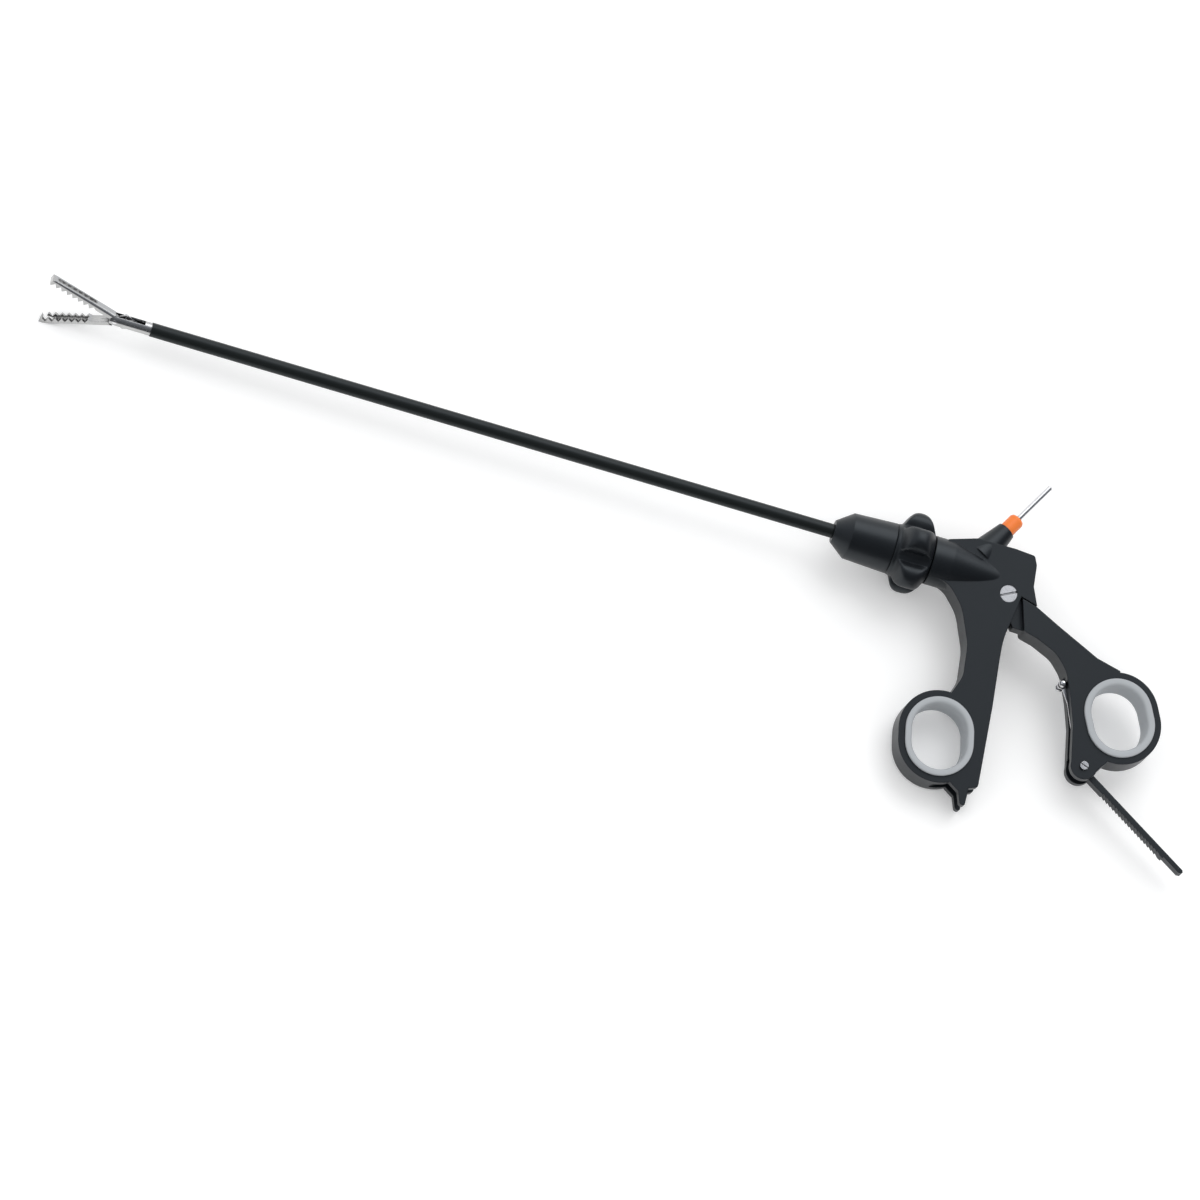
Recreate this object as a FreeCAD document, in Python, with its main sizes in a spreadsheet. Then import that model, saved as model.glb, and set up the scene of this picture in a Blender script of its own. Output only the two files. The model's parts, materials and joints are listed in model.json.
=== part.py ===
import FreeCAD, Part
import math
import os
import Sketcher
from FreeCAD import Placement, Rotation, Vector

# Laparoscopic grasper lying on its side.
# The origin is on the shaft's axis at the front face of the nose cone.
# +X runs back along the shaft to the handles, +Y to the electrode pin, +Z out of the handle's near face.

DIMENSIONS = {
    # insulated shaft
    "shaft_dia": 5.0,
    "insulation_wall": 0.45,
    "insulation_grip": 0.2,
    "tube_wall": 0.4,
    "shaft_reach": 249.0,
    "running_gap": 0.05,
    # nose cone and rotation knob
    "nose_tip_rad": 4.0,
    "nose_shoulder_rad": 8.2,
    "nose_shoulder_at": 5.7,
    "nose_rear_rad": 9.0,
    "nose_length": 21.2,
    "knob_length": 14.0,
    "knob_rad": 8.8,
    "knob_waist_rad": 9.8,
    "lobe_tip_rad": 15.5,
    "lobe_half_length": 5.7,
    "lobe_half_width": 4.3,
    "lobe_count": 5.0,
    "knob_face_gap": 0.3,
    "hub_rad": 5.0,
    "hub_length": 8.0,
    "seal_groove_width": 1.2,
    "seal_section_rad": 0.45,
    "clip_thickness": 0.8,
    "clip_height": 1.0,
    "shaft_nut_rad": 3.6,
    "shaft_nut_length": 2.0,
    # housing with the finger-ring handle
    "barrel_rad": 8.7,
    "barrel_length": 7.0,
    "horn_length": 20.5,
    "handle_thickness": 10.0,
    "slot_width": 5.4,
    "side_gap": 0.1,
    "pivot_x": 64.7,
    "pivot_y": -5.3,
    "pivot_screw_rad": 1.5,
    "pivot_head_rad": 3.1,
    "pivot_head_height": 1.1,
    "head_recess": 0.1,
    "screw_slot_width": 0.8,
    "screw_slot_depth": 0.5,
    # electrode pin
    "electrode_foot_x": 48.8,
    "electrode_angle": 59.5,
    "electrode_rad": 1.0,
    "electrode_tip": 44.4,
    "electrode_root": 13.0,
    "electrode_root_rad": 1.3,
    "electrode_shoulder": 0.3,
    "boss_foot_rad": 5.8,
    "boss_foot": 7.0,
    "boss_top_rad": 3.4,
    "boss_top": 21.0,
    "collar_rad": 2.8,
    "collar_length": 6.3,
    "collar_recess": 1.5,
    "contact_rad": 1.1,
    "contact_wire": 0.2,
    "contact_turns": 7.0,
    "plunger_length": 2.3,
    # finger and thumb rings
    "ring_straight": 4.0,
    "ring_wall": 2.4,
    "insert_rad": 12.2,
    "insert_wall": 2.7,
    "insert_thickness": 12.0,
    "finger_ring_x": 52.6,
    "finger_ring_y": -62.4,
    "finger_ring_angle": -79.0,
    "thumb_ring_x": 113.0,
    "thumb_ring_y": -37.6,
    "thumb_ring_angle": -64.5,
    # thumb handle's drive
    "thumb_travel": 24.0,
    "tongue_hub_rad": 2.55,
    "prong_width": 2.3,
    "prong_stem_width": 1.35,
    "spool_rad": 2.6,
    "spool_core_rad": 1.4,
    "spool_flange": 1.05,
    "spool_gap": 0.12,
    "rod_rad": 0.8,
    "rod_collar_length": 1.4,
    "disc_stack": 1.6,
    "rod_nut_rad": 2.3,
    "rod_nut_length": 1.4,
    # ratchet and its release lever
    "ratchet_x": 104.7,
    "ratchet_y": -57.9,
    "ratchet_boss_rad": 4.8,
    "ratchet_park": -32.0,
    "ratchet_length": 50.5,
    "ratchet_height": 2.3,
    "ratchet_width": 4.0,
    "ratchet_tip_length": 8.5,
    "ratchet_tip_height": 1.7,
    "ratchet_eye_rad": 3.2,
    "ratchet_screw_rad": 0.9,
    "ratchet_head_rad": 1.5,
    "ratchet_head_height": 0.8,
    "ratchet_tooth_pitch": 1.6,
    "ratchet_tooth_depth": 0.5,
    "ratchet_teeth": 18.0,
    "catch_slot_width": 4.6,
    "lever_thickness": 0.8,
    "lever_eye_rad": 2.4,
    "lever_bar_rad": 0.7,
    "lever_ball_rad": 1.45,
    "lever_ball_spacing": 6.2,
    # jaws and their scissor linkage
    "jaw_roll": 55.0,
    "jaw_open": 18.0,
    "yoke_length": 13.0,
    "yoke_rad": 2.3,
    "yoke_slot_width": 2.44,
    "yoke_slot_length": 10.5,
    "yoke_nose_rad": 1.95,
    "ferrule_rad": 2.33,
    "ferrule_length": 1.6,
    "spigot_length": 8.0,
    "jaw_pin_rad": 0.75,
    "jaw_eye_rad": 1.7,
    "jaw_length": 26.9,
    "jaw_half_width": 1.95,
    "jaw_back": 2.1,
    "jaw_round_rad": 2.35,
    "jaw_gap": 0.12,
    "jaw_heel_length": 9.2,
    "tooth_pitch": 2.3,
    "tooth_count": 7.0,
    "tooth_half_height": 0.7,
    "jaw_window_width": 1.6,
    "tail_length": 3.8,
    "tail_angle": 10.0,
    "tail_rad": 0.75,
    "plate_thickness": 0.56,
    "plate_gap": 0.06,
    "link_length": 4.6,
    "link_thickness": 0.52,
    "link_pin_rad": 0.42,
    "link_pin_gap": 0.1,
    "crosshead_length": 2.8,
    "crosshead_rad": 0.85,
}


class Size:
    """A size in mm or degrees, kept both as a number and as the formula that drives it."""

    def __init__(self, number, formula):
        self.number = float(number)
        self.formula = formula

    def joined(self, sign, other, number):
        return Size(number, "({} {} {})".format(self.formula, sign, other.formula))

    def __add__(self, other):
        other = as_size(other)
        return self.joined("+", other, self.number + other.number)

    def __sub__(self, other):
        other = as_size(other)
        return self.joined("-", other, self.number - other.number)

    def __mul__(self, other):
        other = as_size(other)
        return self.joined("*", other, self.number * other.number)

    def __truediv__(self, other):
        other = as_size(other)
        return self.joined("/", other, self.number / other.number)

    def __neg__(self):
        return Size(-self.number, "(-1 * {})".format(self.formula))

    __radd__ = __add__
    __rmul__ = __mul__

    def __rsub__(self, other):
        return as_size(other) - self


def as_size(value):
    return value if isinstance(value, Size) else Size(value, repr(float(value)))


def cosine(angle):
    return Size(math.cos(math.radians(angle.number)), "cos({})".format(angle.formula))


def sine(angle):
    return Size(math.sin(math.radians(angle.number)), "sin({})".format(angle.formula))


def root(value):
    return Size(value.number ** 0.5, "sqrt({})".format(value.formula))


def write_sheet(document):
    """Put every driving dimension in the sheet and give back each one by its alias."""
    sheet = document.addObject("Spreadsheet::Sheet", "Sizes")
    sizes = {}
    for row, (alias, number) in enumerate(DIMENSIONS.items(), start=1):
        cell = "B{}".format(row)
        sheet.set("A{}".format(row), alias)
        sheet.set(cell, str(number))
        sheet.setAlias(cell, alias)
        sizes[alias] = Size(number, "Sizes.{}".format(alias))
    document.recompute()
    return sizes


doc = FreeCAD.newDocument("LaparoscopicGrasper")
S = write_sheet(doc)
finished = []


def bind(item, prop, value):
    """Drive one property from the sheet."""
    item.setExpression(prop, as_size(value).formula)


def place(item, x=0, y=0, z=0, axis=(0, 0, 1), angle=0):
    """Give an item its place, with the numbers now and the formulas that keep them."""
    x, y, z, angle = (as_size(value) for value in (x, y, z, angle))
    turn = Rotation(Vector(*axis), angle.number)
    item.Placement = Placement(Vector(x.number, y.number, z.number), turn)
    bind(item, "Placement.Base.x", x)
    bind(item, "Placement.Base.y", y)
    bind(item, "Placement.Base.z", z)
    if angle.number:
        bind(item, "Placement.Rotation.Angle", angle)
    return item


def finish(item, label):
    """Name a sub-part and list it for export."""
    item.Label = label
    finished.append(item)
    return item


def hold_point(sketch, geometry, end, point):
    """Fix one end of a line or an arc at its driven place."""
    for kind, value in zip(("DistanceX", "DistanceY"), point):
        value = as_size(value)
        index = sketch.addConstraint(Sketcher.Constraint(kind, -1, 1, geometry, end, value.number))
        bind(sketch, "Constraints[{}]".format(index), value)


def new_sketch(label, body=None):
    """An empty sketch, free or on its body's own XY plane."""
    if body is None:
        return doc.addObject("Sketcher::SketchObject", label + "_sketch")
    sketch = body.newObject("Sketcher::SketchObject", label + "_sketch")
    plane = next(item for item in body.Origin.OriginFeatures if item.Role == "XY_Plane")
    sketch.AttachmentSupport = [(plane, "")]
    sketch.MapMode = "FlatFace"
    return sketch


def polygon(label, points, body=None):
    """A closed outline of straight lines through driven points."""
    sketch = new_sketch(label, body)
    count = len(points)
    corners = [Vector(as_size(x).number, as_size(y).number, 0) for x, y in points]
    for index in range(count):
        sketch.addGeometry(Part.LineSegment(corners[index], corners[(index + 1) % count]))
    for index in range(count):
        sketch.addConstraint(Sketcher.Constraint("Coincident", index, 2, (index + 1) % count, 1))
    for index, point in enumerate(points):
        hold_point(sketch, index, 1, point)
    return sketch


def stadium(label, x, y, angle, straight, radius, body=None):
    """An outline of two half circles joined by two straight lines, along the given angle."""
    along = (cosine(angle), sine(angle))
    across = (-along[1], along[0])
    corners = []
    for end, side in ((-1, -1), (1, -1), (1, 1), (-1, 1)):
        corners.append(tuple(middle + along[i] * straight * (end / 2) + across[i] * radius * side
                             for i, middle in enumerate((x, y))))
    sketch = new_sketch(label, body)
    spots = [Vector(px.number, py.number, 0) for px, py in corners]
    reach = Vector(along[0].number, along[1].number, 0) * (straight.number / 2 + radius.number)
    middle = Vector(x.number, y.number, 0)
    sketch.addGeometry(Part.LineSegment(spots[0], spots[1]))
    sketch.addGeometry(Part.Arc(spots[1], middle + reach, spots[2]))
    sketch.addGeometry(Part.LineSegment(spots[2], spots[3]))
    sketch.addGeometry(Part.Arc(spots[3], middle - reach, spots[0]))
    for index in range(4):
        meeting = "Tangent" if index % 2 == 0 else "Coincident"
        sketch.addConstraint(Sketcher.Constraint(meeting, index, 2, (index + 1) % 4, 1))
    for index, point in enumerate(corners):
        hold_point(sketch, index, 1, point)
    return sketch


def extrude(label, sketch, low, high):
    """A flat piece from one height to another."""
    solid = doc.addObject("Part::Extrusion", label)
    solid.Base = sketch
    solid.DirMode = "Custom"
    solid.Dir = Vector(0, 0, 1)
    solid.Solid = True
    bind(solid, "LengthFwd", high)
    bind(solid, "LengthRev", -as_size(low))
    return solid


def plate(label, points, low, high):
    return extrude(label, polygon(label, points), low, high)


def turned(label, points):
    """A round piece about the X axis, from its half section in (x, radius) points."""
    solid = doc.addObject("Part::Revolution", label)
    solid.Source = polygon(label, points)
    solid.Axis = Vector(1, 0, 0)
    solid.Angle = 360
    solid.Solid = True
    return solid


def ring(label, start, end, inner, outer):
    """A plain sleeve about the X axis."""
    return turned(label, [(start, inner), (end, inner), (end, outer), (start, outer)])


def rod_along_x(label, start, end, radius):
    """A plain round bar about the X axis."""
    bar = doc.addObject("Part::Cylinder", label)
    bind(bar, "Radius", radius)
    bind(bar, "Height", end - start)
    return place(bar, x=start, axis=(0, 1, 0), angle=90)


def pin_along_z(label, x, y, low, high, radius):
    """A plain round bar across the handle."""
    bar = doc.addObject("Part::Cylinder", label)
    bind(bar, "Radius", radius)
    bind(bar, "Height", high - low)
    return place(bar, x=x, y=y, z=low)


def block(label, x, y, z):
    """A box between its low and high limits along each axis."""
    solid = doc.addObject("Part::Box", label)
    for prop, (low, high) in zip(("Length", "Width", "Height"), (x, y, z)):
        bind(solid, prop, as_size(high) - low)
    return place(solid, x=x[0], y=y[0], z=z[0])


def join(label, pieces):
    result = doc.addObject("Part::MultiFuse", label)
    result.Shapes = pieces
    result.Refine = True
    return result


def cut(label, base, tools):
    result = doc.addObject("Part::Cut", label)
    result.Base = base
    result.Tool = tools[0] if len(tools) == 1 else join(label + "_tools", tools)
    result.Refine = True
    return result


def overlap(label, pieces):
    result = doc.addObject("Part::MultiCommon", label)
    result.Shapes = pieces
    result.Refine = True
    return result


def moved(label, piece, **where):
    """The same piece carried to another place, for use in a boolean."""
    result = doc.addObject("Part::Compound", label)
    result.Links = [piece]
    return place(result, **where)


# Driven values that several pieces share

insulation_rad = S["shaft_dia"] / 2
gripped_rad = insulation_rad - S["insulation_grip"]
tube_rad = insulation_rad - S["insulation_wall"]
tube_bore = tube_rad - S["tube_wall"]
shaft_front = -S["shaft_reach"]
knob_front = S["nose_length"]
knob_rear = knob_front + S["knob_length"]
barrel_front = knob_rear + S["knob_face_gap"]
barrel_shoulder = barrel_front + S["barrel_length"]
hub_end = knob_rear + S["hub_length"]
shaft_nut_end = hub_end + S["shaft_nut_length"]
barrel_bore = S["hub_rad"] + S["running_gap"]
barrel_bore_end = shaft_nut_end + 1
clip_start = hub_end - 2.2
clip_end = clip_start + S["clip_thickness"]
seal_start = knob_rear + 2.5
seal_middle = seal_start + S["seal_groove_width"] / 2
handle_face = S["handle_thickness"] / 2
slot_half = S["slot_width"] / 2
tongue_half = slot_half - S["side_gap"]
pivot_x = S["pivot_x"]
pivot_y = S["pivot_y"]
head_top = handle_face - S["head_recess"]
head_seat = head_top - S["pivot_head_height"]
rod_bore = S["rod_rad"] + S["running_gap"]
electrode_bore = S["contact_rad"] + S["running_gap"]
collar_seat = S["boss_top"] - S["collar_recess"]
collar_end = S["boss_top"] + S["collar_length"]
insert_face = S["insert_thickness"] / 2

# The plunger meets the rod at a slant, so its flat end stands back by what its lower edge dips.
plunger_dip = S["contact_rad"] / 2 * cosine(S["electrode_angle"])
plunger_start = (rod_bore + plunger_dip) / sine(S["electrode_angle"])
ring_outer = S["insert_rad"] + S["ring_wall"]

# The drive prongs stand half the travel before the upright at rest and half after it when closed.
prong_lean = S["thumb_travel"] / 2
prong_height = -pivot_y
prong_reach = prong_height / cosine(prong_lean)
spool_travel = prong_reach * sine(prong_lean) * 2
prong_tip_x = pivot_x - spool_travel / 2
spool_gap_half = S["prong_width"] / 2 + S["spool_gap"]
spool_front = prong_tip_x - spool_gap_half - S["spool_flange"]
spool_rear = prong_tip_x + spool_gap_half + S["spool_flange"]

# Scissor linkage, in the yoke's own frame: jaw pin at the origin, +X to the handles, +Y the upper jaw's way.
yoke_x = shaft_front - S["yoke_length"]
open_tail = S["jaw_open"] + S["tail_angle"]
tail_open_x = S["tail_length"] * cosine(open_tail)
tail_open_y = S["tail_length"] * sine(open_tail)
tail_shut_x = S["tail_length"] * cosine(S["tail_angle"])
tail_shut_y = S["tail_length"] * sine(S["tail_angle"])
link_run_open = root(S["link_length"] * S["link_length"] - tail_open_y * tail_open_y)
link_run_shut = root(S["link_length"] * S["link_length"] - tail_shut_y * tail_shut_y)
crosshead_open = tail_open_x + link_run_open
rod_travel = tail_shut_x + link_run_shut - crosshead_open
plate_low = S["plate_gap"] / 2
plate_high = plate_low + S["plate_thickness"]
link_low = plate_high + S["plate_gap"] / 2 + 0.02
link_high = link_low + S["link_thickness"]
yoke_slot_half = S["yoke_slot_width"] / 2

# Sleeve lengths on the rod behind the spool leave the spool's over-travel to the disc springs.
rod_collar_start = spool_front - S["side_gap"] / 2 - S["rod_collar_length"]
stack_start = spool_rear + spool_travel - rod_travel + S["side_gap"]
rod_nut_start = stack_start + S["disc_stack"]
rod_end = rod_nut_start + S["rod_nut_length"]
slot_end = rod_end + rod_travel + 0.3


def in_yoke(item):
    """Carry a piece from the yoke's frame to its place at the shaft's front end."""
    return place(item, x=yoke_x, axis=(1, 0, 0), angle=S["jaw_roll"])


def across_yoke(label, x, y, low, high, radius):
    return pin_along_z(label, x, y, low, high, radius)


# Rotating shaft

def insulation_tube():
    """The black sleeve. Its rear end is drawn down a little where the nose cone grips it."""
    rear = S["nose_shoulder_at"]
    half = [
        (shaft_front, tube_rad),
        (shaft_front, insulation_rad),
        (0, insulation_rad),
        (0, gripped_rad),
        (rear, gripped_rad),
        (rear, tube_rad),
    ]
    return finish(turned("sleeve", half), "insulation_tube")


def shaft_tube():
    sleeve = ring("inner_tube", shaft_front, shaft_nut_end, tube_bore, tube_rad)
    return finish(sleeve, "shaft_tube")


def nose_cone():
    front = S["nose_shoulder_at"]
    half = [
        (0, gripped_rad),
        (0, S["nose_tip_rad"]),
        (front, S["nose_shoulder_rad"]),
        (knob_front, S["nose_rear_rad"]),
        (knob_front, tube_rad),
        (front, tube_rad),
        (front, gripped_rad),
    ]
    return finish(turned("nose", half), "nose_cone")


def rotation_knob():
    middle = (knob_front + knob_rear) / 2
    groove_floor = S["hub_rad"] - S["seal_section_rad"] * 2
    clip_floor = S["hub_rad"] - S["clip_height"] / 2
    half = [
        (knob_front, tube_rad),
        (knob_front, S["knob_rad"]),
        (middle, S["knob_waist_rad"]),
        (knob_rear, S["knob_rad"]),
        (knob_rear, S["hub_rad"]),
        (seal_start, S["hub_rad"]),
        (seal_start, groove_floor),
        (seal_start + S["seal_groove_width"], groove_floor),
        (seal_start + S["seal_groove_width"], S["hub_rad"]),
        (clip_start - S["running_gap"], S["hub_rad"]),
        (clip_start - S["running_gap"], clip_floor),
        (clip_end + S["running_gap"], clip_floor),
        (clip_end + S["running_gap"], S["hub_rad"]),
        (hub_end, S["hub_rad"]),
        (hub_end, tube_rad),
    ]
    pieces = [turned("knob_drum", half)]
    for index in range(int(DIMENSIONS["lobe_count"])):
        lobe = doc.addObject("Part::Ellipsoid", "knob_lobe")
        bind(lobe, "Radius1", S["lobe_half_width"])
        bind(lobe, "Radius2", S["lobe_half_length"])
        bind(lobe, "Radius3", S["lobe_tip_rad"] - S["knob_rad"] * 0.6)
        place(lobe, x=middle, y=S["knob_rad"] * 0.6)
        step = as_size(360.0) / S["lobe_count"]
        pieces.append(moved("knob_lobe_turned", lobe, axis=(1, 0, 0), angle=step * index))
    envelope = ring("knob_envelope", knob_front, hub_end, tube_rad, S["lobe_tip_rad"] + 1)
    knob = overlap("knob", [join("knob_rough", pieces), envelope])
    return finish(knob, "rotation_knob")


def knob_seal():
    seal = doc.addObject("Part::Torus", "seal")
    bind(seal, "Radius1", S["hub_rad"] - S["seal_section_rad"])
    bind(seal, "Radius2", S["seal_section_rad"])
    place(seal, x=seal_middle, axis=(0, 1, 0), angle=90)
    return finish(seal, "knob_seal")


def shaft_nut():
    nut = ring("nut", hub_end, shaft_nut_end, tube_rad, S["shaft_nut_rad"])
    flats = []
    for side in (-1, 1):
        edge = S["shaft_nut_rad"] * 0.86
        limits = (edge, edge + 2) if side > 0 else (-edge - 2, -edge)
        flats.append(block("nut_flat", (hub_end, shaft_nut_end), limits, (-S["shaft_nut_rad"], S["shaft_nut_rad"])))
    return finish(cut("nut_with_flats", nut, flats), "shaft_nut")


def rod_seal():
    start = shaft_nut_end - 1.6
    return finish(ring("gasket", start, shaft_nut_end - 0.2, rod_bore, tube_bore), "rod_seal")


def jaw_yoke():
    rear = S["yoke_length"]
    tube_end = rear + S["spigot_length"]
    half = [
        (0, 0),
        (0, S["yoke_rad"]),
        (rear - S["ferrule_length"], S["yoke_rad"]),
        (rear - S["ferrule_length"], S["ferrule_rad"]),
        (rear, S["ferrule_rad"]),
        (rear, tube_bore),
        (tube_end, tube_bore),
        (tube_end, 0),
    ]
    nose = overlap("yoke_nose", [
        rod_along_x("yoke_front", -S["yoke_nose_rad"], as_size(1.0), S["yoke_rad"]),
        across_yoke("yoke_round", 0, 0, -S["yoke_rad"], S["yoke_rad"], S["yoke_nose_rad"]),
    ])
    slot_x = (-S["yoke_rad"], S["yoke_slot_length"])
    slot = block("yoke_slot", slot_x, (-S["yoke_rad"] - 1, S["yoke_rad"] + 1), (-yoke_slot_half, yoke_slot_half))
    bore = rod_along_x("yoke_bore", S["yoke_slot_length"] - 1, tube_end + 1, rod_bore)
    eye = across_yoke("yoke_eye", 0, 0, -S["yoke_rad"] - 1, S["yoke_rad"] + 1, S["jaw_pin_rad"])
    yoke = cut("yoke", join("yoke_rough", [turned("yoke_body", half), nose]), [slot, bore, eye])
    return finish(in_yoke(yoke), "jaw_yoke")


def domed_pin(label, x, y, low, high, radius):
    """A pin across the yoke whose ends follow the yoke's round outline."""
    bar = across_yoke(label + "_bar", x, y, low, high, radius)
    envelope = rod_along_x(label + "_round", as_size(x) - radius - 1, as_size(x) + radius + 1, S["yoke_rad"])
    return overlap(label, [bar, envelope])


def jaw_pin():
    pin = domed_pin("pivot_pin", 0, 0, -S["yoke_rad"], S["yoke_rad"], S["jaw_pin_rad"])
    return finish(in_yoke(pin), "jaw_pin")


# Jaws

def jaw_outline(side):
    """Side view of one closed jaw: a flat heel, a row of pointed teeth and a blunt nose."""
    tooth = S["tooth_half_height"]
    gap = S["jaw_gap"] / 2
    heel = -S["jaw_heel_length"]
    pitch = S["tooth_pitch"]
    # The upper jaw's row starts in a valley and the lower jaw's row with a tip, so they mesh.
    first = tooth + gap if side > 0 else -tooth + gap
    second = -tooth + gap if side > 0 else tooth + gap
    points = [(-1.0, S["jaw_gap"]), (heel + pitch / 2, S["jaw_gap"])]
    for index in range(int(DIMENSIONS["tooth_count"]) + 1):
        points.append((heel - pitch * index, first))
        points.append((heel - pitch * (index + 0.5), second))
    points.append((-S["jaw_length"], second + 0.2))
    points.append((-S["jaw_length"], S["jaw_back"] * 0.62))
    points.append((1 - S["jaw_length"], S["jaw_back"] * 0.82))
    points.append((as_size(-4.0), S["jaw_back"]))
    points.append((as_size(-1.0), S["jaw_back"]))
    return [(x, y * side) for x, y in points]


def jaw(label, side):
    """One toothed jaw with its window, and the flat plate behind it that carries its eye and tail."""
    width = S["jaw_half_width"]
    low, high = (plate_low, plate_high) if side > 0 else (-plate_high, -plate_low)
    body = overlap(label + "_bar", [
        plate(label + "_blank", jaw_outline(side), -width, width),
        rod_along_x(label + "_round", -S["jaw_length"] - 1, as_size(0.0), S["jaw_round_rad"]),
    ])
    clear_of_yoke = across_yoke(label + "_clear", 0, 0, -width - 1, width + 1, S["jaw_eye_rad"] + 0.42)
    window_half = S["jaw_window_width"] / 2
    window_front = -S["jaw_length"] + 2.6
    window_rear = -S["jaw_heel_length"] - 0.4
    window = [block(label + "_window", (window_front, window_rear), (-3, 3), (-window_half, window_half))]
    for end in (window_front, window_rear):
        hole = doc.addObject("Part::Cylinder", label + "_window_end")
        bind(hole, "Radius", window_half)
        hole.Height = 6
        window.append(place(hole, x=end, y=3, axis=(1, 0, 0), angle=90))
    # The heel's plate reaches from the eye to the toothed bar on the jaw's own side of the axis.
    web = [(0, S["plate_gap"] * side), (-4.6, S["plate_gap"] * side), (-4.6, S["jaw_back"] * 0.9 * side),
           (-0.6, S["jaw_eye_rad"] * side)]
    tail_x = tail_shut_x
    tail_y = tail_shut_y * -side
    across = (sine(S["tail_angle"]) * S["tail_rad"] * side, cosine(S["tail_angle"]) * S["tail_rad"])
    tail = [(across[0], across[1]), (-across[0], -across[1]),
            (tail_x - across[0], tail_y - across[1]), (tail_x + across[0], tail_y + across[1])]
    whole = join(label + "_rough", [
        cut(label + "_toothed", body, [clear_of_yoke] + window),
        plate(label + "_web", web, low, high),
        plate(label + "_tail", tail, low, high),
        across_yoke(label + "_eye", 0, 0, low, high, S["jaw_eye_rad"]),
        across_yoke(label + "_tail_end", tail_x, tail_y, low, high, S["tail_rad"]),
    ])
    bores = [
        across_yoke(label + "_pin_bore", 0, 0, -2, 2, S["jaw_pin_rad"] + S["running_gap"]),
        across_yoke(label + "_tail_bore", tail_x, tail_y, -2, 2, S["link_pin_rad"] + S["link_pin_gap"]),
    ]
    shut = cut(label + "_shut", whole, bores)
    opened = place(shut, angle=-S["jaw_open"] if side > 0 else S["jaw_open"])
    return finish(in_yoke(moved(label, opened)), label)


def link(label, side):
    """A flat link from the crosshead's pin to one jaw's tail."""
    low, high = (link_low, link_high) if side > 0 else (-link_high, -link_low)
    tail_x = tail_open_x
    tail_y = tail_open_y * -side
    along = ((tail_x - crosshead_open) / S["link_length"], tail_y / S["link_length"])
    across = (-along[1] * S["tail_rad"], along[0] * S["tail_rad"])
    strap = [(crosshead_open + across[0], across[1]), (crosshead_open - across[0], -across[1]),
             (tail_x - across[0], tail_y - across[1]), (tail_x + across[0], tail_y + across[1])]
    whole = join(label + "_rough", [
        plate(label + "_strap", strap, low, high),
        across_yoke(label + "_rear_end", crosshead_open, 0, low, high, S["tail_rad"]),
        across_yoke(label + "_front_end", tail_x, tail_y, low, high, S["tail_rad"]),
    ])
    bores = [
        across_yoke(label + "_rear_bore", crosshead_open, 0, -2, 2, S["link_pin_rad"] + S["running_gap"]),
        across_yoke(label + "_front_bore", tail_x, tail_y, -2, 2, S["link_pin_rad"]),
    ]
    return finish(in_yoke(cut(label, whole, bores)), label)


def link_pin(label, side):
    low, high = (plate_low, link_high) if side > 0 else (-link_high, -plate_low)
    pin = across_yoke(label + "_bar", tail_open_x, tail_open_y * -side, low, high, S["link_pin_rad"])
    return finish(in_yoke(moved(label + "_body", pin)), label)


def crosshead():
    """The flat block at the rod's front end, which carries both links' rear ends."""
    start = crosshead_open - S["crosshead_rad"]
    rad = S["crosshead_rad"]
    bar = block("crosshead_bar", (crosshead_open, start + S["crosshead_length"]), (-rad, rad), (-plate_high, plate_high))
    nose = across_yoke("crosshead_nose", crosshead_open, 0, -plate_high, plate_high, rad)
    rod_hole = rod_along_x("crosshead_bore", start + S["crosshead_length"] - 0.9, start + S["crosshead_length"] + 1,
                           plate_high - 0.12)
    bore = across_yoke("crosshead_pin_bore", crosshead_open, 0, -2, 2, S["link_pin_rad"])
    return finish(in_yoke(cut("crosshead_block", join("crosshead_rough", [bar, nose]), [bore, rod_hole])),
                  "rod_crosshead")


def crosshead_pin():
    pin = across_yoke("cross_pin", crosshead_open, 0, -link_high, link_high, S["link_pin_rad"])
    return finish(in_yoke(moved("cross_pin_body", pin)), "crosshead_pin")


# Push rod and the drive spool on it

def push_rod():
    front = yoke_x + crosshead_open - S["crosshead_rad"] + S["crosshead_length"]
    tenon = front - 0.9
    collar_end = rod_collar_start + S["rod_collar_length"]
    half = [
        (tenon, 0),
        (tenon, plate_high - 0.12),
        (front, plate_high - 0.12),
        (front, S["rod_rad"]),
        (rod_collar_start, S["rod_rad"]),
        (rod_collar_start, S["spool_core_rad"]),
        (collar_end, S["spool_core_rad"]),
        (collar_end, S["rod_rad"]),
        (rod_end, S["rod_rad"]),
        (rod_end, 0),
    ]
    return finish(turned("rod", half), "push_rod")


def drive_spool():
    half = [
        (spool_front, rod_bore),
        (spool_front, S["spool_rad"]),
        (spool_front + S["spool_flange"], S["spool_rad"]),
        (spool_front + S["spool_flange"], S["spool_core_rad"]),
        (spool_rear - S["spool_flange"], S["spool_core_rad"]),
        (spool_rear - S["spool_flange"], S["spool_rad"]),
        (spool_rear, S["spool_rad"]),
        (spool_rear, rod_bore),
    ]
    return finish(turned("spool", half), "drive_spool")


def disc_springs():
    """Two coned spring washers, drawn pressed flat as they are once the jaws have closed on something."""
    half_stack = S["disc_stack"] / 2
    middle = stack_start + half_stack
    rim = S["rod_nut_rad"]
    half = [
        (stack_start, S["rod_rad"]),
        (middle - half_stack * 0.5, rim),
        (middle + half_stack * 0.5, rim),
        (rod_nut_start, S["rod_rad"]),
    ]
    return finish(turned("washers", half), "disc_springs")


def rod_nut():
    nut = ring("round_nut", rod_nut_start, rod_end, S["rod_rad"], S["rod_nut_rad"])
    return finish(nut, "rod_nut")


# Housing with the finger-ring handle

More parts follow.
